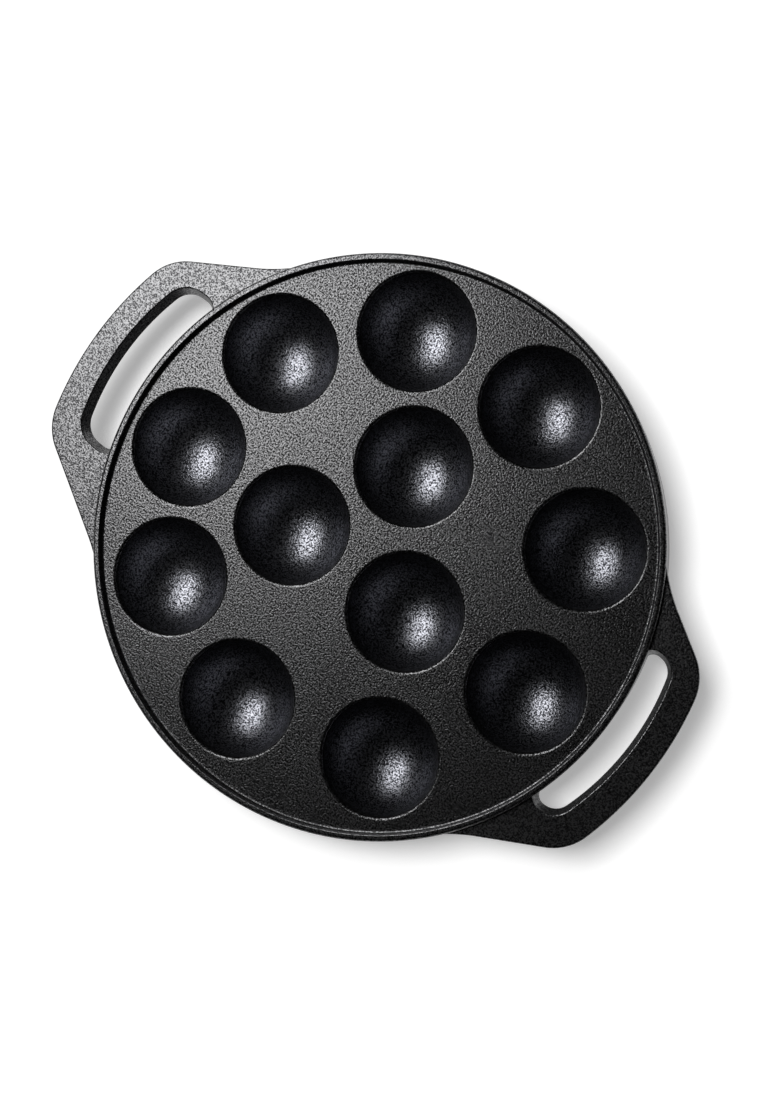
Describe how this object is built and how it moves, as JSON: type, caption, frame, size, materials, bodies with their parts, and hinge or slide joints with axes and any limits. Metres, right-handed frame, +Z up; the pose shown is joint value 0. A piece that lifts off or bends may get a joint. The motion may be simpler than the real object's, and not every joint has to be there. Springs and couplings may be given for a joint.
{
  "type": "aebleskiver pan",
  "caption": "Round cast-iron stovetop pan with a raised rim, hemispherical baking wells sunk in a flat deck, and two slotted bar handles.",
  "frame": {"origin": "on the plane the pan rests on, midway between the ends of the handles and level in Y with the axis of the round body", "axes": "+Z up, the deck faces +Z; +X out through the right handle, -X through the left one; +Y across the handles"},
  "size_m": [0.3088, 0.2518, 0.0335],
  "materials": {
    "cast_iron": "pre-seasoned sand-cast surface, fine grain, satin"
  },
  "bodies": {
    "root": {"deck_plate": "cast_iron", "rim_skirt": "cast_iron", "handle_left": "cast_iron", "handle_right": "cast_iron", "well_outer_1": "cast_iron", "well_outer_2": "cast_iron", "well_outer_3": "cast_iron", "well_outer_4": "cast_iron", "well_outer_5": "cast_iron", "well_outer_6": "cast_iron", "well_outer_7": "cast_iron", "well_outer_8": "cast_iron", "well_outer_9": "cast_iron", "well_inner_1": "cast_iron", "well_inner_2": "cast_iron", "well_inner_3": "cast_iron"}
  },
  "joints": []
}
